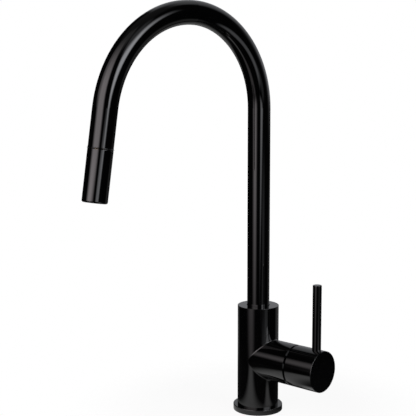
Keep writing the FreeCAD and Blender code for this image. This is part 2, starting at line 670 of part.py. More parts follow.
def sweep(body, radius, bore, start, nose):
    """Sweep a hollow round section up the riser, over the arch and along the nose."""
    path = new_sketch(body, "path", "YZ_Plane")
    rear, front = s.rear_bend, s.front_bend
    peak = s.riser_top + rear
    front_y = -(rear + front * s.tilt_cosine)
    front_z = peak - front * (1 - s.tilt_sine)
    end_y = front_y - nose * s.tilt_sine
    end_z = front_z - nose * s.tilt_cosine
    corners = [(dim(0), dim(start)), (dim(0), s.riser_top), (-rear, peak), (front_y, front_z),
               (end_y, end_z)]
    flat = [FreeCAD.Vector(y.value, z.value, 0) for y, z in corners]
    path.addGeometry(Part.LineSegment(flat[0], flat[1]), False)
    path.addGeometry(Part.Arc(flat[1], bend_middle(rear, rear, 0, 45), flat[2]), False)
    path.addGeometry(Part.Arc(flat[2], bend_middle(rear, front, 90, 135 - s.end_tilt.value / 2), flat[3]),
                     False)
    path.addGeometry(Part.LineSegment(flat[3], flat[4]), False)
    place_path(path, corners, rear, front)
    section = new_sketch(body, "section", "XY_Plane", start)
    add_circle(section, 0, 0, radius)
    add_circle(section, 0, 0, bore)
    pipe = body.newObject("PartDesign::AdditivePipe", f"{body.Name}_pipe")
    pipe.Profile = section
    pipe.Spine = (path, ["Edge1", "Edge2", "Edge3", "Edge4"])
    settle(body, pipe, False)


def bend_middle(rear, bend, start, angle):
    """A point of the arch at an angle past the riser: both bends share the top of the arch."""
    turned = math.radians(angle)
    peak = s.riser_top.value + rear.value
    across = bend.value * math.cos(turned) - rear.value
    return FreeCAD.Vector(across, peak - bend.value + bend.value * math.sin(turned), 0)


def place_path(path, corners, rear, front):
    """Hold the arch's path: line, rear bend, front bend and nose, each from corner to corner."""
    pin_point(path, 0, 1, *corners[0])
    for number, corner in enumerate(corners[1:]):
        pin_point(path, number, 2, *corner)
    for number in (1, 2, 3):
        path.addConstraint(Sketcher.Constraint("Coincident", number - 1, 2, number, 1))
    for number, bend in ((1, rear), (2, front)):
        size = path.addConstraint(Sketcher.Constraint("Radius", number, bend.value))
        path.setExpression(f"Constraints[{size}]", bend.formula)


def build_foot():
    """The brass foot that carries the spout in the body's socket."""
    foot = new_body("spout_foot")
    spigot = s.tube_bore - s.slip_gap
    shoulder = s.foot_top - s.slip_gap
    tip = s.foot_top + s.spigot_length
    turn(foot, "sleeve", [(s.foot_bore, s.foot_base), (s.tube_radius, s.foot_base),
                          (s.tube_radius, shoulder), (spigot, shoulder), (spigot, tip), (s.foot_bore, tip)])
    low_ring = s.foot_base + s.ring_rise
    high_ring = s.foot_top - s.ring_height - s.ring_inset
    slot_low = s.stop_height - s.slot_height * 0.5
    seal_low = slot_low + s.slot_height + s.seal_rise
    proud = s.tube_radius + s.overrun
    seats = [("low_seat", low_ring, s.ring_height, 360), ("high_seat", high_ring, s.ring_height, 360),
             ("seal_seat", seal_low, s.seal_width, 360),
             ("stop_slot", slot_low, s.slot_height, s.slot_angle)]
    for name, low, height, angle in seats:
        turn(foot, name, [(s.ring_root, low), (proud, low), (proud, low + height),
                          (s.ring_root, low + height)], "YZ_Plane", True, angle)
    place(foot, yaw=s.spout_turn)
    inner = s.ring_root + s.ring_fit
    outer = s.socket_radius - s.running_gap
    washers("swivel_rings", [(0, 0, low_ring + s.slip_gap), (0, 0, high_ring + s.slip_gap)],
            inner, outer, s.ring_height - 2 * s.slip_gap)
    ring("swivel_seal", inner, outer, seal_low + s.slip_gap, seal_low + s.seal_width - s.slip_gap)


# ---------------------------------------------------------------- dock, hose and spray head
def at_dock():
    """Placement of the dock's own frame: Z runs up the nose, and 0 is the head's seat."""
    return {"x": s.dock_x, "y": s.dock_y, "z": s.dock_height, "yaw": s.spout_turn, "roll": -s.end_tilt}


def build_dock():
    """The collar in the end of the nose and the magnet above it."""
    collar = new_body("dock_collar")
    rim = s.tube_radius + s.dock_flare
    spigot = s.tube_bore - s.slip_gap
    turn(collar, "section", [(s.dock_mouth, 0), (rim, 0), (rim, s.dock_rim), (spigot, s.dock_rim),
                             (spigot, s.dock_spigot), (s.dock_bore, s.dock_spigot),
                             (s.dock_bore, s.dock_depth), (s.dock_mouth, s.dock_depth)])
    soften(collar, "rim", s.dock_edge, [(rim, 0), (rim, s.dock_rim)])
    place(collar, **at_dock())
    ring("dock_magnet", s.dock_bore, spigot, s.dock_spigot, s.dock_spigot + s.magnet_height, **at_dock())


def build_hose():
    """The spray hose, from its tail nut under the worktop to its socket in the head."""
    hose = new_body("spray_hose")
    sweep(hose, s.hose_radius, s.hose_inner, -s.hose_tail, s.nose_run + s.hose_entry)
    place(hose, yaw=s.spout_turn)
    nut = new_body("hose_tail_nut")
    top = s.tail_nut_lap - s.hose_tail
    low = top - s.tail_nut_height
    sleeve = s.hose_radius + s.ring_fit
    turn(nut, "nut", [(s.hose_inner, low), (s.tail_nut_radius, low), (s.tail_nut_radius, top),
                      (sleeve, top), (sleeve, -s.hose_tail), (s.hose_inner, -s.hose_tail)])
    place(nut, yaw=s.spout_turn)


def build_head():
    """The pull-out head: shell, hose connector, washer, core, non-return valve and aerator."""
    top = -s.slip_gap
    roof = top - s.head_roof
    bottom = -s.head_length
    fit = s.head_bore - s.slip_gap
    shell = new_body("head_shell")
    turn(shell, "section", [(s.neck_radius, top), (s.head_radius, top), (s.head_radius, bottom),
                            (s.head_bore, bottom), (s.head_bore, roof), (s.neck_radius, roof)])
    soften(shell, "top_edge", s.head_top_edge, [(s.head_radius, top)])
    soften(shell, "bottom_edge", s.head_bottom_edge, [(s.head_radius, bottom)])
    place(shell, **at_dock())
    connector = new_body("hose_connector")
    neck = s.neck_radius - s.slip_gap
    socket = s.hose_radius + s.free_gap
    floor = -s.hose_entry - s.free_gap
    low = -s.connector_length
    lip = s.dock_depth - s.connector_lip
    turn(connector, "section", [(s.hose_inner, low), (fit, low), (fit, roof - s.slip_gap),
                                (neck, roof - s.slip_gap), (neck, lip), (socket, lip), (socket, floor),
                                (s.hose_inner, floor)])
    place(connector, **at_dock())
    ring("connector_seal", s.hose_inner, fit, s.core_top, low, **at_dock())
    core = new_body("head_core")
    outer = s.head_bore - s.core_gap
    high_flange = s.core_top - s.core_flange
    low_flange = s.core_low + s.core_flange
    turn(core, "tube", [(s.core_bore, s.core_low), (fit, s.core_low), (fit, low_flange), (outer, low_flange),
                        (outer, high_flange), (fit, high_flange), (fit, s.core_top),
                        (s.core_bore, s.core_top)])
    place(core, **at_dock())
    build_check_valve()
    build_aerator(fit)


def build_check_valve():
    """The non-return valve, as one closed cartridge pressed into the core."""
    valve = new_body("check_valve")
    outer = s.core_bore - s.slip_gap
    high = s.core_top - s.valve_inset
    seat = s.core_top - s.valve_seat
    low = s.core_top - s.valve_length
    nose = low - s.valve_nose
    turn(valve, "body", [(0, nose), (s.valve_tip, nose), (s.valve_throat, low), (outer, low), (outer, high),
                         (s.valve_throat, high), (s.valve_throat, seat), (0, seat)])
    place(valve, **at_dock())


def build_aerator(fit):
    """The aerator at the outlet: a ring, a jet plate, a screen and a seal."""
    low = s.outlet_face
    high = s.core_low - s.aerator_seal
    housing = new_body("aerator_housing")
    turn(housing, "ring", [(s.aerator_bore, low), (fit, low), (fit, high), (s.aerator_bore, high)])
    place(housing, **at_dock())
    plate = new_body("jet_plate")
    rim = s.aerator_bore - s.slip_gap
    face = low + s.plate_recess
    back = face + s.plate_height
    turn(plate, "disc", [(0, face), (rim, face), (rim, back), (0, back)])
    for name, circle, count in (("outer_jet", s.outer_circle, 12), ("inner_jet", s.inner_circle, 6)):
        extrude(plate, name, lambda sketch: add_circle(sketch, circle, 0, s.jet_radius), s.plate_height,
                offset=face, cut=True, reverse=True)
        repeat_around(plate, count)
    place(plate, **at_dock())
    screen = back + s.screen_gap
    ring("aerator_screen", 0, rim, screen, screen + s.screen_height, **at_dock())
    ring("aerator_seal", s.aerator_bore, fit, high, s.core_low, **at_dock())


def repeat_around(body, count):
    """Repeat the newest feature evenly about the body's Z axis."""
    newest = body.Tip
    pattern = body.newObject("PartDesign::PolarPattern", f"{newest.Name}_round")
    axis = [item for item in body.Origin.OriginFeatures if item.Role == "Z_Axis"][0]
    pattern.Originals = [newest]
    pattern.Axis = (axis, [""])
    pattern.Angle = 360
    pattern.Occurrences = count
    doc.recompute()
    body.Tip = pattern


def check_and_write():
    """Stop at any failed object or bad shape, then write one STEP file for each sub-part."""
    doc.recompute()
    for item in doc.Objects:
        if "Invalid" in item.State or "Error" in item.State:
            raise RuntimeError(f"{item.Name} failed: {item.State}")
    for name, item in parts.items():
        if item.Shape.isNull() or not item.Shape.isValid():
            raise RuntimeError(f"{name} has no valid shape")
    os.makedirs("parts", exist_ok=True)
    for name, item in parts.items():
        item.Shape.exportStep(f"parts/{name}.step")
        print(f"{name}: {item.Shape.Volume:.1f} mm3, {len(item.Shape.Solids)} solid(s)")


for build in (build_flange, build_body, build_fixing, build_cartridge, build_carrier, build_stem,
              build_handle, build_spout, build_dock, build_hose, build_head):
    build()
check_and_write()
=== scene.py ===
"""Looks and studio of a side-lever kitchen mixer tap with a pull-down spray head.

Metres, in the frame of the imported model: +Z up, the origin on the worktop under the flange.
"""
from __future__ import annotations

import json
import logging
import math
from dataclasses import dataclass
from enum import Enum
from typing import Any, Sequence

import bmesh
import bpy
from mathutils import Matrix, Vector

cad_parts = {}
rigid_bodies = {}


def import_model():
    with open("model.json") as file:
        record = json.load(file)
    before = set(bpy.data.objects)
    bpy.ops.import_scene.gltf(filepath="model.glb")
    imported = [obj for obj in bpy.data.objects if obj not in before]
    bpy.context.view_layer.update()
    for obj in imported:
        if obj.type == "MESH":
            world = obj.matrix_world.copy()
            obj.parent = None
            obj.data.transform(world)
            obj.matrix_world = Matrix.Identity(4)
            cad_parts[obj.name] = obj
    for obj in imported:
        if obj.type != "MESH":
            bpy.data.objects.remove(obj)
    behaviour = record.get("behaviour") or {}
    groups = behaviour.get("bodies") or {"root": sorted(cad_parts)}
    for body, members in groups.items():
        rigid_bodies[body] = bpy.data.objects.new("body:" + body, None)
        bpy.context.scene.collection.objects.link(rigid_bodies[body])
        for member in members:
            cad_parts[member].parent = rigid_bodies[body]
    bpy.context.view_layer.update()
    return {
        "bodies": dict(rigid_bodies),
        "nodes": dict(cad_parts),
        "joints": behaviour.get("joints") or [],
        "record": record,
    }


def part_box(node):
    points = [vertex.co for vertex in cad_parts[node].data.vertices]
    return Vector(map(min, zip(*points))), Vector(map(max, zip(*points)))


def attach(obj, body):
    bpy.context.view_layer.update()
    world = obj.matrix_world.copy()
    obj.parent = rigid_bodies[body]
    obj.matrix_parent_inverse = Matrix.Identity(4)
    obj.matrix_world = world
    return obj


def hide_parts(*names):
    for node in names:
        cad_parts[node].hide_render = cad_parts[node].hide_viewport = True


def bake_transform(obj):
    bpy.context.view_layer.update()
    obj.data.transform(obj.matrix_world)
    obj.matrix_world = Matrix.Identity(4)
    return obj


LOG = logging.getLogger("mixer_tap")
MM = 0.001
UP = Vector((0.0, 0.0, 1.0))
SHARP_ANGLE = 40.0
MERGE_DISTANCE = 1e-7
CREST_SHARE = (0.42, 0.58)


class Body(Enum):
    """The moving bodies of the frame; new pieces ride on the mixer and the spout."""

    MIXER = "mixer"
    SPOUT = "spout"
    HOSE_END = "hose_end"


class HoseLength(Enum):
    """The two lengths that the spray hose is made in."""

    RUN = "hose_run"
    DRAWN = "hose_drawn"


# ---------------------------------------------------------------- node helper
class Net:
    """A node tree, with short ways to add the nodes that the finishes and the studio share."""

    def __init__(self, tree: bpy.types.NodeTree) -> None:
        """Hold the tree's nodes and links.

        Args:
            tree: The node tree of a material or a world.
        """
        self.nodes, self.links = tree.nodes, tree.links

    def feed(self, socket: Any, value: Any) -> None:
        """Give an input a number, or link another node's output to it."""
        if isinstance(value, bpy.types.NodeSocket):
            self.links.new(value, socket)
        else:
            socket.default_value = value

    def maths(self, operation: str, first: Any, second: Any = 0.0) -> Any:
        """Combine two sockets or numbers.

        Args:
            operation: The Math node's operation.
            first: Its first socket or number.
            second: Its second socket or number.

        Returns:
            The result's socket.
        """
        made = self.nodes.new("ShaderNodeMath")
        made.operation = operation
        self.feed(made.inputs[0], first)
        self.feed(made.inputs[1], second)
        return made.outputs[0]

    def dot(self, vector: Any, axis: Sequence[float]) -> Any:
        """Give a vector's part along an axis."""
        made = self.nodes.new("ShaderNodeVectorMath")
        made.operation = "DOT_PRODUCT"
        self.links.new(vector, made.inputs[0])
        made.inputs[1].default_value = axis
        return made.outputs["Value"]

    def fade(self, value: Any, start: float, end: float, low: Any = 0.0, high: Any = 1.0) -> Any:
        """Go smoothly from low at start to high at end, and stay level past either.

        Args:
            value: The socket that is measured.
            start: Where the change starts.
            end: Where it ends, which may be below start.
            low: The level at start and before it.
            high: The level at end and after it.

        Returns:
            The level's socket.
        """
        made = self.nodes.new("ShaderNodeMapRange")
        made.interpolation_type = "SMOOTHSTEP"
        if end < start:
            start, end, low, high = end, start, high, low
        for name, number in (("Value", value), ("From Min", start), ("From Max", end), ("To Min", low),
                             ("To Max", high)):
            self.feed(made.inputs[name], number)
        return made.outputs["Result"]

    def noise(self, vector: Any, scale: float, detail: float = 4.0) -> Any:
        """Give fine procedural noise at a scale, in cells a metre."""
        made = self.nodes.new("ShaderNodeTexNoise")
        self.links.new(vector, made.inputs["Vector"])
        made.inputs["Scale"].default_value = scale
        made.inputs["Detail"].default_value = detail
        return made.outputs["Fac"]

    def blend_shaders(self, share: Any, first: Any, second: Any) -> Any:
        """Mix two shaders, all second where the share is 1."""
        made = self.nodes.new("ShaderNodeMixShader")
        self.feed(made.inputs["Fac"], share)
        self.links.new(first, made.inputs[1])
        self.links.new(second, made.inputs[2])
        return made.outputs["Shader"]

    def blend_colours(self, share: Any, first: Any, second: Any) -> Any:
        """Mix two colours, all second where the share is 1."""
        made = self.nodes.new("ShaderNodeMix")
        made.data_type = "RGBA"
        self.feed(made.inputs["Factor"], share)
        self.feed(made.inputs["A"], first)
        self.feed(made.inputs["B"], second)
        return made.outputs["Result"]


# ---------------------------------------------------------------- finishes
@dataclass(frozen=True)
class Finish:
    """A surface: its two tones, how it scatters light, and its fine grain.

    The grain changes the roughness by its amount and raises the surface by its relief. The patches are
    where the tone turns to the shade, in cells a metre, and the edges are the noise levels that they
    fade between.
    """

    slot: str
    tone: tuple[float, float, float]
    shade: tuple[float, float, float]
    metallic: float
    roughness: float
    grain: float
    grain_scale: float
    relief: float
    patch_scale: float = 45.0
    patch_detail: float = 2.0
    patch_edges: tuple[float, float] = (0.35, 0.65)
    grain_edges: tuple[float, float] = (0.2, 0.8)

    def material(self) -> bpy.types.Material:
        """Build the node material, or give it back if it is there.

        Returns:
            The finished material, named after its slot.
        """
        name = f"finish_{self.slot}"
        found = bpy.data.materials.get(name)
        if found is not None:
            return found
        made = bpy.data.materials.new(name)
        made.use_nodes = True
        net = Net(made.node_tree)
        shader = net.nodes["Principled BSDF"]
        shader.inputs["Metallic"].default_value = self.metallic
        place = net.nodes.new("ShaderNodeTexCoord")
        cloud = net.noise(place.outputs["Object"], self.patch_scale, self.patch_detail)
        patches = net.fade(cloud, *self.patch_edges)
        colour = net.blend_colours(patches, (*self.tone, 1.0), (*self.shade, 1.0))
        net.feed(shader.inputs["Base Color"], self.paint(net, place, colour))
        height = self.surface(net, place)
        smooth, rough = max(self.roughness - self.grain, 0.0), self.roughness + self.grain
        net.feed(shader.inputs["Roughness"], net.fade(height, *self.grain_edges, smooth, rough))
        bump = net.nodes.new("ShaderNodeBump")
        bump.inputs["Strength"].default_value = 1.0
        bump.inputs["Distance"].default_value = self.relief
        net.feed(bump.inputs["Height"], height)
        net.feed(shader.inputs["Normal"], bump.outputs["Normal"])
        return made

    def surface(self, net: Net, place: Any) -> Any:
        """Give the height of the grain, from 0 to 1.

        Args:
            net: The material's nodes.
            place: Its Texture Coordinate node.

        Returns:
            The height's socket.
        """
        return net.noise(place.outputs["Object"], self.grain_scale)

    def paint(self, net: Net, place: Any, colour: Any) -> Any:
        """Give the colour as it is; the braid paints shade into it between its strands."""
        return colour


@dataclass(frozen=True)
class Braid(Finish):
    """A woven sleeve, whose two sets of strands wind round the hose both ways.

    The spacing is between strands along the hose, and the dip is where the painted shade starts and is
    darkest.
    """

    strands: int = 16
    spacing: float = 2.36 * MM
    along: tuple[float, float, float] = (-0.01191, -0.1584, -0.987303)
    # the colour of the shade painted between the strands
    gap_shade: tuple[float, float, float] = (0.004, 0.004, 0.004)
    dip: tuple[float, float] = (0.75, 0.45)

    def surface(self, net: Net, place: Any) -> Any:
        """Give the height of the upper strand at each spot.

        Args:
            net: The material's nodes.
            place: Its Texture Coordinate node.

        Returns:
            The height's socket.
        """
        split = net.nodes.new("ShaderNodeSeparateXYZ")
        net.links.new(place.outputs["UV"], split.inputs[0])
        around = net.maths("MULTIPLY", split.outputs["X"], math.tau * self.strands)
        length = net.maths("MULTIPLY", net.dot(place.outputs["Object"], self.along), math.tau / self.spacing)
        right = net.maths("COSINE", net.maths("ADD", around, length))
        left = net.maths("COSINE", net.maths("SUBTRACT", around, length))
        upper = net.maths("MAXIMUM", right, left)
        return net.maths("ADD", net.maths("MULTIPLY", upper, 0.5), 0.5)

    def paint(self, net: Net, place: Any, colour: Any) -> Any:
        """Paint shade between the strands, where they dip.

        Args:
            net: The material's nodes.
            place: Its Texture Coordinate node.
            colour: The strands' colour.

        Returns:
            The colour's socket.
        """
        # painted shade: the colour turns darker toward the low parts between the strands
        return net.blend_colours(net.fade(self.surface(net, place), *self.dip), colour, (*self.gap_shade, 1.0))


GLOSS_BLACK = Finish(
    "gloss_black", tone=(0.0005, 0.0005, 0.0006), shade=(0.0008, 0.0008, 0.0009), metallic=0.0,
    roughness=0.055, grain=0.01, grain_scale=140.0, relief=0.006 * MM)
BRASS = Finish(
    "brass", tone=(0.56, 0.40, 0.17), shade=(0.51, 0.355, 0.145), metallic=1.0,
    roughness=0.28, grain=0.07, grain_scale=900.0, relief=0.004 * MM)
STEEL = Finish(
    "steel", tone=(0.56, 0.56, 0.57), shade=(0.52, 0.52, 0.535), metallic=1.0,
    roughness=0.26, grain=0.07, grain_scale=900.0, relief=0.004 * MM)
RUBBER = Finish(
    "rubber", tone=(0.012, 0.012, 0.012), shade=(0.020, 0.020, 0.019), metallic=0.0,
    roughness=0.62, grain=0.08, grain_scale=1800.0, relief=0.015 * MM)
NYLON = Finish(
    "nylon", tone=(0.62, 0.60, 0.55), shade=(0.55, 0.53, 0.47), metallic=0.0,
    roughness=0.42, grain=0.05, grain_scale=1200.0, relief=0.006 * MM)
BLACK_PLASTIC = Finish(
    "black_plastic", tone=(0.012, 0.012, 0.013), shade=(0.017, 0.017, 0.018), metallic=0.0,
    roughness=0.38, grain=0.06, grain_scale=1500.0, relief=0.008 * MM)
CERAMIC = Finish(
    "ceramic", tone=(0.80, 0.78, 0.73), shade=(0.74, 0.72, 0.67), metallic=0.0,
    roughness=0.18, grain=0.03, grain_scale=600.0, relief=0.002 * MM)
HOSE_BRAID = Braid(
    "hose_braid", tone=(0.035, 0.035, 0.037), shade=(0.024, 0.024, 0.026), metallic=0.0,
    roughness=0.42, grain=0.08, grain_scale=900.0, relief=0.25 * MM)
FINISHES = (GLOSS_BLACK, BRASS, STEEL, RUBBER, NYLON, BLACK_PLASTIC, CERAMIC, HOSE_BRAID)


# ---------------------------------------------------------------- studio
@dataclass(frozen=True)
class Softbox:
    """A large, distant, soft-edged light panel, placed by its bearing and height in degrees.

    The bearing is 0 toward -Y and 90 toward +X. Each side fades in from its outer to its inner angle.
    The slant raises the lower and upper edges to the right, and the lean moves the panel to the right
    with depth.
    """

    name: str
    bearing: float
    left: tuple[float, float]
    right: tuple[float, float]
    bottom: tuple[float, float]
    top: tuple[float, float]
    strength: float
    colour: tuple[float, float, float] = (1.0, 1.0, 1.0)
    slant: float = 0.0
    lean: float = 0.0

    def add(self, net: Net, way: Any, height: Any, total: Any) -> Any:
        """Add this panel's light to what the room gives so far.

        Args:
            net: The world's nodes.
            way: The direction that a ray leaves in.
            height: That direction's angle above the horizon.
            total: The light so far.

        Returns:
            The socket with this panel's light on top.
        """
        turn = math.radians(self.bearing)
        ahead = net.dot(way, (math.sin(turn), -math.cos(turn), 0.0))
        aside = net.dot(way, (math.cos(turn), math.sin(turn), 0.0))
        shift = net.maths("MULTIPLY", height, self.lean)
        across = net.maths("ADD", net.maths("ARCTAN2", aside, ahead), shift)
        lift = net.maths("SUBTRACT", height, net.maths("MULTIPLY", across, self.slant))
        share: Any = 1.0
        for angle, (outer, inner) in ((across, self.left), (across, self.right), (lift, self.bottom),
                                      (height, self.top)):
            edge = net.fade(angle, math.radians(outer), math.radians(inner))
            share = net.maths("MULTIPLY", edge, share)
        glow = net.nodes.new("ShaderNodeVectorMath")
        glow.operation = "MULTIPLY_ADD"
        net.links.new(share, glow.inputs[0])
        glow.inputs[1].default_value = [self.strength * part for part in self.colour]
        net.links.new(total, glow.inputs[2])
        return glow.outputs[0]


WARM, COOL = (1.0, 0.925, 0.95), (0.94, 0.955, 1.0)
# name, bearing, left, right, bottom and top (outer, inner), strength, colour, slant
SOFTBOXES = (
    Softbox("front", 0.0, (-38.0, -8.0), (41.0, 22.0), (-2.0, 9.0), (72.0, 30.0), 3.1, WARM, 0.1),
    Softbox("front_edge", 0.0, (-50.0, -40.0), (-18.0, -32.0), (10.0, 24.0), (72.0, 40.0), 0.9, WARM),
    Softbox("front_low", 2.0, (-34.0, 0.0), (24.0, 0.0), (-18.0, -3.0), (12.0, 2.0), 2.5, WARM),
    Softbox("right", 90.0, (-21.0, -8.0), (38.0, 10.0), (1.5, 13.5), (44.0, 24.0), 5.9, COOL, 0.45),
    Softbox("right_low", 66.0, (-17.0, -4.0), (16.0, 4.0), (-10.0, -2.0), (9.0, 2.0), 2.3, COOL, 0.4),
    Softbox("right_top", 80.0, (-20.0, -6.0), (32.0, 12.0), (34.0, 42.0), (66.0, 50.0), 0.45, COOL),
    Softbox("rear", 190.0, (-44.0, -20.0), (54.0, 42.0), (-4.0, 4.0), (72.0, 54.0), 0.5, COOL),
    Softbox("rear_low", 165.0, (-28.0, -8.0), (22.0, 10.0), (-5.0, 2.0), (18.0, 8.0), 0.35, COOL),
    Softbox("overhead", 13.0, (-46.0, -36.0), (56.0, 38.0), (44.0, 62.0), (82.0, 72.0), 0.24),
    Softbox("ceiling", 0.0, (-999.0, -998.0), (999.0, 998.0), (50.0, 68.0), (999.0, 998.0), 0.07),
    Softbox("floor_front", -1.0, (-24.0, -4.0), (22.0, 4.0), (-89.0, -70.0), (-8.0, -22.0), 0.62, WARM),
    Softbox("floor_right", 63.0, (-24.0, -6.0), (26.0, 8.0), (-64.0, -46.0), (-12.0, -22.0), 1.0, COOL,
            lean=0.9),
    Softbox("floor_far", 88.0, (-16.0, -6.0), (20.0, 6.0), (-32.0, -22.0), (-3.0, -8.0), 0.27, COOL),
    Softbox("floor_rear", 175.0, (-28.0, -12.0), (24.0, 6.0), (-76.0, -40.0), (-4.0, -12.0), 0.16),
    Softbox("floor_left", -122.0, (-70.0, -15.0), (36.0, 14.0), (-78.0, -50.0), (-8.0, -22.0), 0.38),
)


@dataclass(frozen=True)
class Studio:
    """Camera, worktop patch, pale backdrop and lights.

    Each streak is its middle, where it starts and stops fading, and its level. The side reach is where
    the side streak starts, is full, starts to dim and ends, and the front reach is where the front one
    starts and is full.
    """

    azimuth: float = 42.73
    pitch: float = 7.607
    roll: float = -0.131
    offset: tuple[float, float, float] = (51.11 * MM, 205.076 * MM, 1001.163 * MM)
    lens: float = 84.318
    clip: tuple[float, float] = (0.01, 50.0)
    floor_radius: float = 0.30
    floor_sides: int = 96
    floor_drop: float = 0.05 * MM
    floor_tone: tuple[float, float, float] = (0.92, 0.92, 0.92)
    floor_roughness: float = 0.9
    floor_seen: tuple[float, float] = (0.09, 0.20)
    floor_mirrored: tuple[float, float] = (0.12, 0.30)
    floor_white: float = 0.92
    front_streak: tuple[float, float, float, float] = (0.003, 0.008, 0.050, 0.8)
    side_streak: tuple[float, float, float, float] = (-0.002, 0.004, 0.022, 0.70)
    side_reach: tuple[float, float, float, float] = (0.03, 0.05, 0.09, 0.15)
    front_reach: tuple[float, float] = (0.02, -0.02)
    floor_glow: float = 0.02
    room: float = 0.007

    def build(self) -> None:
        """Set up everything that isn't part of the tap."""
        self.camera()
        self.floor()
        self.surroundings()
        bpy.context.scene.view_settings.view_transform = "Standard"

    def camera(self) -> None:
        """Put the camera where the origin lies at the stated offset: right, down and ahead of it."""
        azimuth, pitch, roll = (math.radians(v) for v in (self.azimuth, self.pitch, self.roll))
        ahead = Vector((-math.sin(azimuth) * math.cos(pitch), math.cos(azimuth) * math.cos(pitch),
                        -math.sin(pitch)))
        level = Vector((math.cos(azimuth), math.sin(azimuth), 0.0))
        upright = level.cross(ahead)
        right = math.cos(roll) * level + math.sin(roll) * upright
        above = -math.sin(roll) * level + math.cos(roll) * upright
        across, down, depth = self.offset
        data = bpy.data.cameras.new("camera")
        data.lens = self.lens
        data.clip_start, data.clip_end = self.clip
        camera = bpy.data.objects.new("camera", data)
        turn = Matrix((right, above, -ahead)).transposed().to_4x4()
        camera.matrix_world = Matrix.Translation(down * above - across * right - depth * ahead) @ turn
        bpy.context.scene.collection.objects.link(camera)
        bpy.context.scene.camera = camera

    def floor(self) -> None:
        """Add the pale round worktop patch that the tap stands on."""
        mesh = bpy.data.meshes.new("floor")
        build = bmesh.new()
        bmesh.ops.create_circle(build, cap_ends=True, segments=self.floor_sides, radius=self.floor_radius)
        build.to_mesh(mesh)
        build.free()
        floor = bpy.data.objects.new("floor", mesh)
        floor.location.z = -self.floor_drop
        bpy.context.scene.collection.objects.link(floor)
        mesh.materials.append(self.pale_floor())

    def pale_floor(self) -> bpy.types.Material:
        """Make a matt white that reads as the white backdrop but keeps the tap's shadow.

        Reflections see it as a dim sheet with two streaks of light. It fades out toward the rim, and
        isn't seen from below.

        Returns:
            The floor's material.
        """
        material = bpy.data.materials.new("pale_floor")
        material.use_nodes = True
        net = Net(material.node_tree)
        matt = net.nodes["Principled BSDF"]
        matt.inputs["Base Color"].default_value = (*self.floor_tone, 1.0)
        matt.inputs["Roughness"].default_value = self.floor_roughness
        matt.inputs["Specular IOR Level"].default_value = 0.0
        place = net.nodes.new("ShaderNodeTexCoord").outputs["Object"]
        ray = net.nodes.new("ShaderNodeLightPath")
        white = net.nodes.new("ShaderNodeEmission").outputs["Emission"]
        pale = net.blend_shaders(self.floor_white, matt.outputs["BSDF"], white)
        streaks = net.nodes.new("ShaderNodeEmission")
        net.feed(streaks.inputs["Strength"], self.streaks(net, place))
        far = net.nodes.new("ShaderNodeVectorMath")
        far.operation = "LENGTH"
        net.links.new(place, far.inputs[0])
        clear = net.nodes.new("ShaderNodeBsdfTransparent").outputs["BSDF"]
        below = net.nodes.new("ShaderNodeNewGeometry").outputs["Backfacing"]
        hidden = net.maths("MAXIMUM", net.fade(far.outputs["Value"], *self.floor_seen), below)
        seen = net.blend_shaders(ray.outputs["Is Camera Ray"], matt.outputs["BSDF"],
                                 net.blend_shaders(hidden, pale, clear))
        dimmed = net.blend_shaders(net.fade(far.outputs["Value"], *self.floor_mirrored),
                                   streaks.outputs["Emission"], clear)
        seen = net.blend_shaders(ray.outputs["Is Glossy Ray"], seen, dimmed)
        net.feed(net.nodes["Material Output"].inputs["Surface"], seen)
        return material

    def streaks(self, net: Net, place: Any) -> Any:
        """Give the light that the two panels leave on the floor, as reflections see it.

        Args:
            net: The floor's nodes.
            place: The spot on the floor.

        Returns:
            The brightness, one streak running to the front and one to the right.
        """
        split = net.nodes.new("ShaderNodeSeparateXYZ")
        net.links.new(place, split.inputs[0])
        ahead, aside = split.outputs["Y"], split.outputs["X"]
        glows = []
        for spot, (middle, inner, outer, level) in ((aside, self.front_streak), (ahead, self.side_streak)):
            away = net.maths("ABSOLUTE", net.maths("SUBTRACT", spot, middle))
            glows.append(net.fade(away, outer, inner, 0.0, level))
        near, full, dim, end = self.side_reach
        front = net.maths("MULTIPLY", glows[0], net.fade(ahead, *self.front_reach))
        side = net.maths("MULTIPLY", glows[1], net.fade(aside, near, full))
        side = net.maths("MULTIPLY", side, net.fade(aside, end, dim))
        return net.maths("ADD", net.maths("ADD", front, side), self.floor_glow)

    def surroundings(self) -> None:
        """Show plain white to the camera, and a dark room with soft panels to everything else."""
        world = bpy.data.worlds.new("studio")
        world.use_nodes = True
        bpy.context.scene.world = world
        net = Net(world.node_tree)
        way = net.nodes.new("ShaderNodeTexCoord").outputs["Generated"]
        height = net.maths("ARCSINE", net.dot(way, UP))
        room = net.nodes.new("ShaderNodeCombineXYZ")
        for socket in room.inputs:
            socket.default_value = self.room
        total = room.outputs["Vector"]
        for panel in SOFTBOXES:
            total = panel.add(net, way, height, total)
        ray = net.nodes.new("ShaderNodeLightPath")
        back = net.nodes["Background"]
        net.feed(back.inputs["Color"], net.blend_colours(ray.outputs["Is Camera Ray"], total,
                                                        (1.0, 1.0, 1.0, 1.0)))
        back.inputs["Strength"].default_value = 1.0


# ---------------------------------------------------------------- the tap
@dataclass
class CadParts:
    """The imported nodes, each given the finish of its own slot."""

    frame: dict[str, Any]

    def dress(self) -> None:
        """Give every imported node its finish."""
        finishes = {finish.slot: finish for finish in FINISHES}
        for part in self.frame["record"]["subparts"]:
            node = self.frame["nodes"][part["node"]]
            node.data.materials.clear()
            node.data.materials.append(finishes[part["material_slot"]].material())
            LOG.info("%s: %s", part["node"], part["material_slot"])


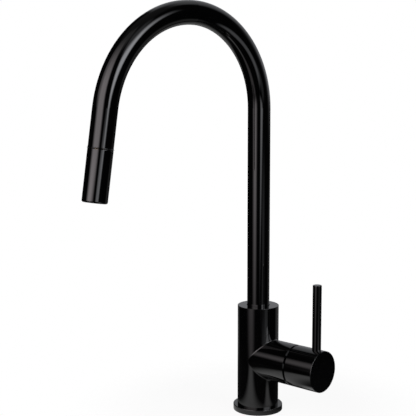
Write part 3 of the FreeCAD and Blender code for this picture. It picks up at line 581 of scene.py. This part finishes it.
@dataclass
class Assembly:
    """A group of new pieces that share a way of being made and dressed."""

    def add_piece(self, name: str, build: bmesh.types.BMesh, finish: Finish, nodes: Sequence[str]) -> Any:
        """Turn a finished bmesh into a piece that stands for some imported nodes.

        Args:
            name: The piece's name.
            build: Its mesh, in its place.
            finish: Its finish.
            nodes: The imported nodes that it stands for.

        Returns:
            The new object.
        """
        bmesh.ops.recalc_face_normals(build, faces=build.faces)
        mesh = bpy.data.meshes.new(name)
        build.to_mesh(mesh)
        build.free()
        mesh.shade_smooth()
        mesh.set_sharp_from_angle(angle=math.radians(SHARP_ANGLE))
        mesh.materials.append(finish.material())
        piece = bpy.data.objects.new(name, mesh)
        bpy.context.scene.collection.objects.link(piece)
        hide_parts(*nodes)
        LOG.info("%s: %d faces", name, len(mesh.polygons))
        return piece

    def lathe(self, build: bmesh.types.BMesh, profile: Sequence[tuple[float, float]], centre: Vector,
              steps: int) -> None:
        """Turn a closed profile all the way round a vertical line.

        Args:
            build: The mesh that takes the solid.
            profile: The radius and height of each corner.
            centre: A point on the line, at height 0.
            steps: How many facets go round.
        """
        corners = [build.verts.new(centre + Vector((radius, 0.0, height))) for radius, height in profile]
        edges = [build.edges.new(pair) for pair in zip(corners, corners[1:] + corners[:1])]
        bmesh.ops.spin(build, geom=corners + edges, cent=centre, axis=UP, angle=math.tau, steps=steps,
                       use_merge=True, use_duplicate=False)


def thread(low: float, high: float, crest: float, root: float, pitch: float) -> list[tuple[float, float]]:
    """Give the outline of a thread from its low end to its high end.

    Args:
        low: Height of its lower end.
        high: Height of its upper end.
        crest: Radius over the thread.
        root: Radius in its grooves.
        pitch: Distance between grooves, at most.

    Returns:
        The radius and height of each corner, going up.
    """
    turns = math.ceil((high - low) / pitch)
    step = (high - low) / turns
    points = [(root, low)]
    for turn in range(turns):
        base = low + turn * step
        points += [(crest, base + share * step) for share in CREST_SHARE]
        points.append((root, base + step))
    return points


@dataclass
class Fixing(Assembly):
    """The threaded shank below the flange and the two jack screws in its nut."""

    bore: float = 14.9 * MM
    pitch: float = 1.5 * MM
    groove: float = 0.75 * MM
    plain_from: float = 0.0
    shank_sides: int = 96
    jack_sides: int = 32
    jack_pitch: float = 1.0 * MM
    jack_groove: float = 0.55 * MM
    jack_radius: float = 3.0 * MM
    jack_head: float = 5.0 * MM
    jack_head_height: float = 4.0 * MM
    jack_tip: float = 0.8 * MM
    tip_inset: float = 0.4 * MM
    recess_rim: float = 1.3 * MM
    recess_depth: float = 1.4 * MM
    edge: float = 0.25 * MM

    def build(self) -> None:
        """Make both pieces and put them on the mixer body."""
        for piece in (self.shank(), self.jack_screws()):
            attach(piece, Body.MIXER.value)

    def shank(self) -> Any:
        """Make the hollow shank, threaded from its tip up to the worktop."""
        low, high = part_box("threaded_shank")
        crest = high.x
        turns = thread(low.z, self.plain_from, crest, crest - self.groove, self.pitch)
        outline = [(self.bore, low.z), *turns, (crest, self.plain_from + self.pitch * 0.5), (crest, high.z),
                   (self.bore, high.z)]
        build = bmesh.new()
        self.lathe(build, outline, Vector(), self.shank_sides)
        return self.add_piece("shank_thread", build, BRASS, ["threaded_shank"])

    def jack_screws(self) -> Any:
        """Make the two screws, each with a dished hexagon head."""
        low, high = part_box("jack_screws")
        reach = high.x - self.jack_head
        neck = low.z + self.jack_head_height
        root = self.jack_radius - self.jack_groove
        turns = thread(neck, high.z - self.jack_tip, self.jack_radius, root, self.jack_pitch)
        outline = [(0.0, neck), *turns, (root - self.tip_inset, high.z), (0.0, high.z)]
        build = bmesh.new()
        for side in (reach, -reach):
            centre = Vector((side, 0.0, 0.0))
            self.lathe(build, outline, centre, self.jack_sides)
            self.hexagon_head(build, centre + UP * low.z)
        bmesh.ops.remove_doubles(build, verts=build.verts, dist=MERGE_DISTANCE)
        return self.add_piece("jack_screw_pair", build, STEEL, ["jack_screws"])

    def hexagon_head(self, build: bmesh.types.BMesh, foot: Vector) -> None:
        """Add a hexagon head with softened corners and a recess in its lower face.

        Args:
            build: The mesh that takes the head.
            foot: The middle of its lower face.
        """
        made = bmesh.ops.create_cone(build, cap_ends=True, segments=6, radius1=self.jack_head,
                                     radius2=self.jack_head, depth=self.jack_head_height,
                                     matrix=Matrix.Translation(foot + UP * self.jack_head_height * 0.5))
        own = set(made["verts"])
        under = next(face for face in build.faces if set(face.verts) <= own and face.normal.z < -0.9)
        bmesh.ops.inset_region(build, faces=[under], thickness=self.recess_rim)
        bmesh.ops.translate(build, verts=under.verts, vec=UP * self.recess_depth)
        edges = [edge for edge in build.edges if set(edge.verts) <= own]
        bmesh.ops.bevel(build, geom=edges, offset=self.edge, offset_type="OFFSET", affect="EDGES",
                        segments=2, profile=0.5, material=-1)


@dataclass
class SprayHose(Assembly):
    """The braided hose, as the run inside the tap and the straight length in the nose that the head draws
    out.
    """

    radius: float = 6.0 * MM
    tail: float = -74.0 * MM
    riser_top: float = 306.2 * MM
    rear_bend: float = 89.0 * MM
    front_bend: float = 101.4 * MM
    end_tilt: float = 9.14
    nose_run: float = 34.7 * MM
    entry: float = 5.6 * MM
    swing: float = -4.3
    sides: int = 32
    riser_rings: int = 8
    bend_rings: int = 24
    drawn_rings: int = 28
    hold: float = 1.0 * MM

    def build(self) -> None:
        """Make both lengths: the run rides on the spout, and the drawn one, which the head draws out of the
        nose, is left fixed where it is made.
        """
        fixed = self.hose_piece(HoseLength.RUN)
        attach(fixed, Body.SPOUT.value)
        drawn = self.hose_piece(HoseLength.DRAWN)
        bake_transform(drawn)

    def nose(self) -> tuple[Vector, Vector]:
        """Find the straight nose of the spout.

        Returns:
            Its top, and the way that the hose leaves it.
        """
        tilt = math.radians(self.end_tilt)
        peak = self.riser_top + self.rear_bend
        top = Vector((0.0, -self.rear_bend - self.front_bend * math.cos(tilt),
                      peak - self.front_bend * (1.0 - math.sin(tilt))))
        turn = Matrix.Rotation(math.radians(self.swing), 3, "Z")
        return turn @ top, turn @ Vector((0.0, -math.sin(tilt), -math.cos(tilt)))

    def hose_piece(self, length: HoseLength) -> Any:
        """Sweep one length of the hose: the run in the tap, or the straight one in the nose.

        Args:
            length: Which length it is.

        Returns:
            The new object.
        """
        build = bmesh.new()
        around = build.verts.layers.float.new("around")
        made = bmesh.ops.create_circle(build, segments=self.sides, radius=self.radius,
                                       matrix=Matrix.Translation((0.0, 0.0, self.tail)))
        for number, corner in enumerate(made["verts"]):
            corner[around] = number / self.sides
        ring = list(build.edges)
        middle = Vector((0.0, -self.rear_bend, self.riser_top))
        crown = middle + UP * (self.rear_bend - self.front_bend)
        ring = self.draw_out(build, ring, UP * (self.riser_top - self.tail), self.riser_rings)
        ring = self.bend_round(build, ring, middle, 90.0)
        ring = self.bend_round(build, ring, crown, 90.0 - self.end_tilt)
        if length is HoseLength.DRAWN:
            kept = {corner for edge in ring for corner in edge.verts}
            bmesh.ops.delete(build, geom=[v for v in build.verts if v not in kept], context="VERTS")
            tilt = math.radians(self.end_tilt)
            way = Vector((0.0, -math.sin(tilt), -math.cos(tilt)))
            self.draw_out(build, ring, way * (self.nose_run + self.entry), self.drawn_rings)
        bmesh.ops.holes_fill(build, edges=[edge for edge in build.edges if edge.is_boundary])
        bmesh.ops.rotate(build, cent=Vector(), matrix=Matrix.Rotation(math.radians(self.swing), 3, "Z"),
                         verts=build.verts)
        self.wrap(build, around)
        return self.add_piece(length.value, build, HOSE_BRAID, ["spray_hose"])

    def draw_out(self, build: bmesh.types.BMesh, ring: list[Any], travel: Vector, steps: int) -> list[Any]:
        """Extend the open end in a straight line.

        Args:
            build: The hose so far.
            ring: The edges of its open end.
            travel: How far that end goes.
            steps: How many rings the stretch has.

        Returns:
            The edges of the new end.
        """
        for _ in range(steps):
            made = bmesh.ops.extrude_edge_only(build, edges=ring)["geom"]
            ring = [item for item in made if isinstance(item, bmesh.types.BMEdge)]
            corners = [item for item in made if isinstance(item, bmesh.types.BMVert)]
            bmesh.ops.translate(build, verts=corners, vec=travel / steps)
        return ring

    def bend_round(self, build: bmesh.types.BMesh, ring: list[Any], centre: Vector,
                   angle: float) -> list[Any]:
        """Extend the open end round a bend, in the plane of the spout.

        Args:
            build: The hose so far.
            ring: The edges of its open end.
            centre: The middle of the bend.
            angle: How far it bends, in degrees.

        Returns:
            The edges of the new end.
        """
        corners = list({corner for edge in ring for corner in edge.verts})
        made = bmesh.ops.spin(build, geom=corners + ring, cent=centre, axis=Vector((1.0, 0.0, 0.0)),
                              angle=math.radians(angle), steps=self.bend_rings, use_duplicate=False)
        return [item for item in made["geom_last"] if isinstance(item, bmesh.types.BMEdge)]

    def wrap(self, build: bmesh.types.BMesh, around: Any) -> None:
        """Lay the braid's map round the hose, joined without a seam.

        Args:
            build: The finished hose.
            around: The layer with each corner's share of the way round.
        """
        sleeve = build.loops.layers.uv.new("braid")
        for face in build.faces:
            shares = [loop.vert[around] for loop in face.loops]
            over = max(shares) - min(shares) > 0.5
            for loop, share in zip(face.loops, shares):
                loop[sleeve].uv = (share + 1.0 if over and share < 0.5 else share, loop.vert.co.z)


def corners(box: tuple[Vector, Vector]) -> list[list[float]]:
    """Give a box's two corners as plain lists.

    Args:
        box: Lowest and highest corner.

    Returns:
        The two corners, each as three numbers.
    """
    return [list(corner) for corner in box]


def main() -> None:
    """Load the frame, dress it, add the new pieces and set up the studio."""
    logging.basicConfig(level=logging.INFO)
    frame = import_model()
    CadParts(frame).dress()
    Fixing().build()
    SprayHose().build()
    Studio().build()


if __name__ == "__main__":
    main()
